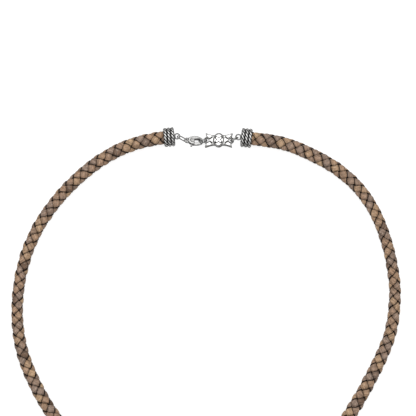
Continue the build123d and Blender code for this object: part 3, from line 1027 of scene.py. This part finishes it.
@dataclass
class ClaspCastings:
    """Cast clasp pieces that keep the form of their CAD solids, with soft edges, blackened recesses and
    painted shade on their walls and along their edges.
    """

    plate: Lying = Lying((5.784, 75.265, 2.873), 0.0, -7.8, -21.8)
    claw: Lying = Lying((-8.259, 75.354, 2.732), -5.0, 4.0, -27.4)
    # Painted shade on walls and edge bands, and how the oxide-blackened hollows are found, for each casting.
    plate_oxide_and_shade: OxideAndShade = OxideAndShade(0.76, 0.65)
    claw_oxide_and_shade: OxideAndShade = OxideAndShade(0.74, 0.60)
    lever_oxide_and_shade: OxideAndShade = OxideAndShade(0.74, 0.60, 10)
    # Painted light and shade: the same silver kept lighter or darker on each part.
    plate_lit_share: float = 0.92
    claw_lit_share: float = 0.61
    wire_lit_share: float = 0.48
    plate_grid: float = 0.085
    claw_grid: float = 0.07
    plate_face: float = 0.65
    cut_half_width: float = 1.75
    medallion_half_width: float = 2.4
    medallion_half_length: float = 3.2
    petal_half_length: float = 0.85
    petal_half_width: float = 0.45
    claw_face: float = 0.95
    panel_depth: float = 0.2
    panel_middle: float = 3.925
    panel_half_length: float = 2.575
    panel_half_width: float = 1.15
    band_rounds: int = 160
    outer_edge_shade: float = 0.13
    rim_dark: float = 0.76
    petal_dark: float = 0.82
    panel_dark: float = 0.66

    def edge_band(self, cast: bpy.types.Mesh, upright: np.ndarray) -> np.ndarray:
        """Find the band of a casting's face along its edges, which gets painted shade, from how upright its
        surface stands.
        """
        near = Caster.average(cast, upright[:, None], self.band_rounds)[:, 0]
        return smooth_step(near, 0.06, 0.22)

    def soften(self, node: str, grid: float, lying: Lying,
               oxide_and_shade: OxideAndShade) -> tuple[bpy.types.Mesh, np.ndarray, np.ndarray]:
        """Cast one node again with soft edges, its upright walls and the bands along its edges darkened with
        painted shade.

        Args:
            node: The CAD node.
            grid: Size of the new faces in millimetres.
            lying: How the piece lies.
            oxide_and_shade: How the piece's hollows are blackened and how dark its painted shade is.

        Returns:
            The casting, its recess values with the painted shade added, and its points in the piece's own
            axes.
        """
        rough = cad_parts[node].data.copy()
        rough.transform(Matrix.Scale(1 / MM, 4))
        cast = Caster.fuse(node + "_cast", rough, grid, 3)
        normals = np.zeros(len(cast.vertices) * 3)
        cast.vertices.foreach_get("normal", normals)
        upright = 1.0 - np.abs(normals.reshape(-1, 3) @ lying.turn()[:, 2])
        # Painted shade on the upright walls.
        walls = oxide_and_shade.wall_shade * smooth_step(upright, 0.16, 0.62)
        recess = np.maximum(Caster.recess(cast, oxide_and_shade.rounds, oxide_and_shade.depth), walls)
        own = lying.inside(mesh_points(cast))
        # Painted shade on the bands of the face along its edges, stronger along the plate's outer long edges.
        outer = 1.0 + self.outer_edge_shade * (np.abs(own[:, 1]) > self.cut_half_width)
        recess = np.maximum(recess, oxide_and_shade.band_shade * outer * self.edge_band(cast, upright))
        return cast, recess, own

    def panel(self, own: np.ndarray) -> np.ndarray:
        """Find the floor of the claw's shallow panel.

        Args:
            own: Points in the claw's own axes.

        Returns:
            One number for each point, 1 on the panel's floor.
        """
        straight = self.panel_half_length - self.panel_half_width
        reach = np.maximum(np.abs(own[:, 0] - self.panel_middle) - straight, 0.0)
        out = np.hypot(reach, own[:, 1]) / self.panel_half_width
        low = self.claw_face - self.panel_depth / 2
        return (1.0 - smooth_step(out, 0.88, 1.02)) * (own[:, 2] > 0) * (own[:, 2] < low)

    def cut_lines(self, own: np.ndarray) -> np.ndarray:
        """Find the floors of the plate's slits and grooves.

        Args:
            own: Points in the plate's own axes.

        Returns:
            One number for each point, 1 on a floor.
        """
        sunk = smooth_step(self.plate_face - own[:, 2], 0.10, 0.20) * (own[:, 2] > 0)
        beside = np.abs(own[:, 0]) > self.medallion_half_width
        return sunk * beside * (np.abs(own[:, 1]) < self.cut_half_width)

    def medallion_lines(self, own: np.ndarray) -> np.ndarray:
        """Find the foot of the medallion's rim and of its petals.

        Args:
            own: Points in the plate's own axes.

        Returns:
            One number for each point, high in the dark lines.
        """
        raised = own[:, 2] > self.plate_face + 0.02
        oval = np.hypot(own[:, 0] / self.medallion_half_width, own[:, 1] / self.medallion_half_length)
        rim = smooth_step(oval, 0.72, 0.78) * (1.0 - smooth_step(oval, 0.92, 0.98))
        petals = np.full(len(own), 9.0)
        for number in range(4):
            turn = math.radians(45.0 + 90.0 * number)
            out = own[:, 0] * math.cos(turn) + own[:, 1] * math.sin(turn) - self.petal_half_length
            across = own[:, 1] * math.cos(turn) - own[:, 0] * math.sin(turn)
            apart = np.hypot(out / self.petal_half_length, across / self.petal_half_width)
            petals = np.minimum(petals, apart)
        foot = (1.0 - smooth_step(petals, 1.55, 2.10)) * (own[:, 2] < self.plate_face + 0.30)
        return raised * np.maximum(self.rim_dark * rim, self.petal_dark * foot)

    def build(self, silver: SilverFinish) -> None:
        """Build the plate, claw and lever, and dress the rings and the link.

        Args:
            silver: The finish that all of them share.
        """
        plate_silver = silver.build("plate_silver", recessed=True, lit_share=self.plate_lit_share)
        cast, recess, own = self.soften("clasp_plate", self.plate_grid, self.plate, self.plate_oxide_and_shade)
        lines = np.maximum(self.cut_lines(own), self.medallion_lines(own))
        store_values(cast, "recess", np.maximum(recess, lines))
        Caster.finish("clasp_plate_soft", cast, "clasp_plate", "root", plate_silver)
        claw_silver = silver.build("claw_silver", recessed=True, lit_share=self.claw_lit_share)
        cast, recess, own = self.soften("claw_body", self.claw_grid, self.claw, self.claw_oxide_and_shade)
        store_values(cast, "recess", np.maximum(recess, self.panel_dark * self.panel(own)))
        Caster.finish("claw_body_soft", cast, "claw_body", "root", claw_silver)
        cast, recess, _ = self.soften("claw_lever", self.claw_grid, self.claw, self.lever_oxide_and_shade)
        store_values(cast, "recess", recess)
        Caster.finish("claw_lever_soft", cast, "claw_lever", "lever", claw_silver)
        wire = silver.build("wire_silver", recessed=False, lit_share=self.wire_lit_share)
        for node in ("left_jump_ring", "right_jump_ring", "oval_link"):
            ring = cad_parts[node]
            ring.data.materials.clear()
            ring.data.materials.append(wire)
            LOG.info("%s: CAD node dressed", node)


@dataclass
class Studio:
    """Pale floor, soft lights and the camera of the photograph."""

    view_middle: tuple[float, float] = (1.0, 45.4)
    view_height: float = 3.0
    view_width: float = 183.9
    lens: float = 200.0
    floor_size: float = 5000.0
    floor_rim: float = 20.0
    floor_gap: float = 0.03
    overhead_light: float = 1.25
    horizon_light: float = 0.08
    floor_glow: float = 0.70
    floor_dim: float = 0.05
    floor_grey: float = 0.60
    key_place: Place = (-40.0, 590.0, 540.0)
    key_aim: Place = (0.0, 60.0, 0.0)
    key_size: float = 620.0
    key_power: float = 1.6

    def floor(self) -> None:
        """Lay a plain pale floor with a softly turned-up rim."""
        half = self.floor_size / 2 * MM
        count = 24
        side = np.linspace(-half, half, count)
        across, along = np.meshgrid(side, side, indexing="ij")
        rise = self.floor_rim * smooth_step(np.maximum(np.abs(across), np.abs(along)), half * 0.9, half)
        points = np.stack([across, along, (rise - self.floor_gap) * MM], -1).reshape(-1, 3)
        grid = np.arange(count * count).reshape(count, count)
        quads = np.stack([grid[:-1, :-1], grid[1:, :-1], grid[1:, 1:], grid[:-1, 1:]], -1).reshape(-1, 4)
        material, bench, shader = start_material("pale_floor")
        seen = bench.add("LightPath").outputs["Is Camera Ray"]
        bench.feed(shader, {
            "Base Color": (*[self.floor_grey] * 3, 1.0),
            "Roughness": 0.9,
            "Specular IOR Level": 0.1,
            "Emission Color": (1.0, 1.0, 1.0, 1.0),
            "Emission Strength": bench.spread(seen, 0.0, 1.0, self.floor_dim, self.floor_glow),
        })
        ground = place_piece("pale_floor", make_mesh("pale_floor", points, quads.tolist()), material)

    def dome(self) -> None:
        """Surround the scene with soft light, brightest overhead and dim near the horizon."""
        world = bpy.data.worlds.new("studio")
        world.use_nodes = True
        bench = NodeBench(world.node_tree)
        toward = bench.add("TexCoord").outputs["Generated"]
        height = bench.add("SeparateXYZ", None, {0: toward}).outputs["Z"]
        rise = bench.maths("POWER", bench.spread(height, 0.0, 1.0), 1.5)
        strength = bench.spread(rise, 0.0, 1.0, self.horizon_light, self.overhead_light)
        bench.feed(world.node_tree.nodes["Background"], {"Color": (1.0, 1.0, 1.0, 1.0), "Strength": strength})
        bpy.context.scene.world = world

    def lamp(self, name: str, place: Place, aim: Place, size: float, power: float) -> None:
        """Hang one soft square lamp.

        Args:
            name: Lamp name.
            place: Where it hangs, in millimetres.
            aim: Where it points, in millimetres.
            size: Its side in millimetres.
            power: Its power in watts.
        """
        light = bpy.data.lights.new(name, "AREA")
        light.shape = "SQUARE"
        light.size = size * MM
        light.energy = power
        lamp = bpy.data.objects.new(name, light)
        lamp.location = [part * MM for part in place]
        direction = Vector(aim) - Vector(place)
        lamp.rotation_euler = direction.to_track_quat("-Z", "Y").to_euler()
        bpy.context.scene.collection.objects.link(lamp)

    def camera(self) -> None:
        """Set the camera straight above, as in the photograph."""
        data = bpy.data.cameras.new("camera")
        data.lens = self.lens
        data.sensor_width = 36.0
        eye = bpy.data.objects.new("camera", data)
        away = self.view_width * self.lens / data.sensor_width
        eye.location = (self.view_middle[0] * MM, self.view_middle[1] * MM, (away + self.view_height) * MM)
        bpy.context.scene.collection.objects.link(eye)
        bpy.context.scene.camera = eye

    def build(self) -> None:
        """Set up the whole studio."""
        bpy.context.scene.view_settings.view_transform = "Standard"
        self.dome()
        self.floor()
        self.lamp("key_lamp", self.key_place, self.key_aim, self.key_size, self.key_power)
        self.camera()


ROUTE_POINTS: list[Place] = [
    (-15.657, 76.756, 4.3), (-28.586, 75.398, 4.3), (-45.8, 67.7, 3.3), (-62.4, 53.5, 2.875),
    (-74.8, 36.9, 2.8), (-81.8, 18.5, 2.7), (-83.9, -0.6, 2.65), (-81.7, -18.2, 2.85),
    (-75.0, -34.1, 2.975), (-65.6, -49.5, 3.05), (-52.5, -61.6, 3.05), (-35.3, -71.6, 3.05),
    (-15.5, -77.4, 3.05), (5.1, -79.0, 3.05), (25.5, -76.0, 3.05), (43.8, -68.2, 3.05),
    (57.3, -55.8, 3.075), (66.4, -41.9, 3.1), (75.2, -25.8, 3.025), (82.5, -9.3, 2.85),
    (84.2, 10.5, 2.675), (80.7, 29.4, 2.65), (73.6, 47.4, 2.7), (60.4, 62.0, 2.95), (41.9, 71.6, 3.325),
    (30.396, 75.044, 4.3), (17.467, 76.403, 4.3),
]
CORD_DIAMETERS: list[float] = [
    6.0, 6.1, 6.0, 5.75, 5.6, 5.4, 5.3, 5.7, 5.95, 6.1, 6.1, 6.1, 6.1, 6.1, 6.1, 6.1, 6.15, 6.2, 6.05,
    5.7, 5.35, 5.3, 5.4, 5.9, 6.05, 6.1, 6.0,
]
# Painted light and shade: the rope caps' share of the silver's colours.
ROPE_LIT_SHARE = 0.95


def main() -> None:
    """Build the necklace piece by piece and report each one."""
    logging.basicConfig(level=logging.INFO, format="%(name)s: %(message)s")
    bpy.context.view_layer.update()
    Studio().build()

    groups = {"mottle": mottle_group(), "grain": grain_group()}
    leather = LeatherFinish(groups)
    silver = SilverFinish(groups)

    route = CordRoute(ROUTE_POINTS, CORD_DIAMETERS)
    LOG.info("cord route: %.1f mm", route.length / MM)
    BraidedCord(route).build(leather)

    rope_silver = silver.build("rope_silver", recessed=True, lit_share=ROPE_LIT_SHARE)
    RopeCap("left_cord_cap", (-13.72, 76.96, 4.3), 186.0).build(rope_silver)
    RopeCap("right_cord_cap", (15.53, 76.607, 4.3), -6.0).build(rope_silver)
    ClaspCastings().build(silver)


if __name__ == "__main__":
    main()
